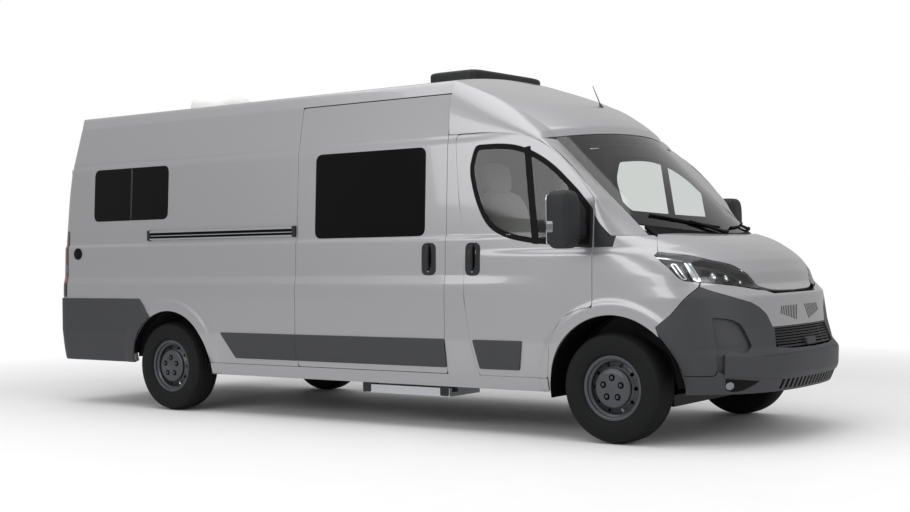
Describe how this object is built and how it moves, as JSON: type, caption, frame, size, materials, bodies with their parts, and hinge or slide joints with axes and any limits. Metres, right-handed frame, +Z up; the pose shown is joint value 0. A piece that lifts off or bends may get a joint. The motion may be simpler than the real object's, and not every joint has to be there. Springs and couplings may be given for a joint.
{
  "type": "panel-van camper",
  "caption": "Silver high-roof camper van with hinged cab doors, bonnet and rear doors, steered front wheels, a sliding side door, entry step and roof units.",
  "frame": {"origin": "on the ground at mid length and mid width", "axes": "+X towards the front of the van, +Y to its left, +Z up"},
  "size_m": [6.363, 2.5586, 2.6],
  "materials": {
    "paint": "gloss",
    "plastic": "matte",
    "white_plastic": "satin",
    "glass": "gloss",
    "lamp": "gloss",
    "steel": "satin",
    "cast": "matte",
    "wheel_steel": "satin",
    "aluminium": "satin",
    "tyre": "matte",
    "fabric": "matte"
  },
  "bodies": {
    "body": {"floor": "steel", "wheel_boxes": "steel", "firewall": "steel", "body_frame": "paint", "side_panel_right": "paint", "side_panel_left": "paint", "roof": "paint", "cab_roof": "paint", "a_pillars": "paint", "windscreen": "glass", "cowl": "plastic", "wings": "paint", "headlamps": "lamp", "front_bumper": "plastic", "grille_panel": "paint", "engine": "cast", "front_subframe": "steel", "rear_axle": "steel", "chassis_rails": "steel", "tanks": "plastic", "exhaust": "steel", "entry_step": "aluminium", "sliding_door": "paint", "tail_lamps": "lamp", "rear_bumper": "plastic", "side_trim": "plastic", "side_windows": "glass", "seat_left": "fabric", "seat_right": "fabric", "dashboard": "plastic", "roof_hood": "plastic", "roof_vent": "white_plastic"},
    "cab_door_right": {"cab_door_right": "paint", "cab_glass_right": "glass", "cab_trim_right": "plastic"},
    "cab_door_left": {"cab_door_left": "paint", "cab_glass_left": "glass", "cab_trim_left": "plastic"},
    "rear_door_right": {"rear_door_right": "paint", "rear_glass_right": "glass"},
    "rear_door_left": {"rear_door_left": "paint", "rear_glass_left": "glass"},
    "bonnet": {"bonnet": "paint"},
    "knuckle_left": {"knuckle_left": "steel"},
    "knuckle_right": {"knuckle_right": "steel"},
    "steering_wheel": {"steering_wheel": "plastic"},
    "wheel_front_left": {"tyre_front_left": "tyre", "rim_front_left": "wheel_steel"},
    "wheel_front_right": {"tyre_front_right": "tyre", "rim_front_right": "wheel_steel"},
    "wheel_rear_left": {"tyre_rear_left": "tyre", "rim_rear_left": "wheel_steel"},
    "wheel_rear_right": {"tyre_rear_right": "tyre", "rim_rear_right": "wheel_steel"}
  },
  "joints": [
    {"name": "steer_left", "type": "hinge", "parent": "body", "child": "knuckle_left", "pos_m": [2.2335, 0.8, 0.35], "axis": [0, 0, 1], "range_deg": [-34, 34]},
    {"name": "steer_right", "type": "hinge", "parent": "body", "child": "knuckle_right", "pos_m": [2.2335, -0.8, 0.35], "axis": [0, 0, 1], "range_deg": [-34, 34]},
    {"name": "steering_wheel_turn", "type": "hinge", "parent": "body", "child": "steering_wheel", "pos_m": [1.7135, 0.48, 1.19], "axis": [-0.9063, 0, 0.4226], "range_deg": [-510, 510]},
    {"name": "spin_front_left", "type": "hinge", "parent": "knuckle_left", "child": "wheel_front_left", "pos_m": [2.2335, 0.905, 0.35], "axis": [0, 1, 0], "continuous": true},
    {"name": "spin_front_right", "type": "hinge", "parent": "knuckle_right", "child": "wheel_front_right", "pos_m": [2.2335, -0.905, 0.35], "axis": [0, 1, 0], "continuous": true},
    {"name": "spin_rear_left", "type": "hinge", "parent": "body", "child": "wheel_rear_left", "pos_m": [-1.8015, 0.895, 0.35], "axis": [0, 1, 0], "continuous": true},
    {"name": "spin_rear_right", "type": "hinge", "parent": "body", "child": "wheel_rear_right", "pos_m": [-1.8015, -0.895, 0.35], "axis": [0, 1, 0], "continuous": true},
    {"name": "cab_door_right_swing", "type": "hinge", "parent": "body", "child": "cab_door_right", "pos_m": [2.1065, -1.031, 1.1], "axis": [0, 0, 1], "range_deg": [0, 70]},
    {"name": "cab_door_left_swing", "type": "hinge", "parent": "body", "child": "cab_door_left", "pos_m": [2.1065, 1.031, 1.1], "axis": [0, 0, -1], "range_deg": [0, 70]},
    {"name": "rear_door_right_swing", "type": "hinge", "parent": "body", "child": "rear_door_right", "pos_m": [-3.1665, -0.803, 1.3], "axis": [0, 0, 1], "range_deg": [0, 180]},
    {"name": "rear_door_left_swing", "type": "hinge", "parent": "body", "child": "rear_door_left", "pos_m": [-3.1665, 0.803, 1.3], "axis": [0, 0, -1], "range_deg": [0, 180]},
    {"name": "bonnet_lift", "type": "hinge", "parent": "body", "child": "bonnet", "pos_m": [2.4195, 0, 1.296], "axis": [0, -1, 0], "range_deg": [0, 55]}
  ],
  "couplings": [
    {"joint": "steer_right", "follows": "steer_left", "ratio": 1},
    {"joint": "steering_wheel_turn", "follows": "steer_left", "ratio": 15}
  ]
}
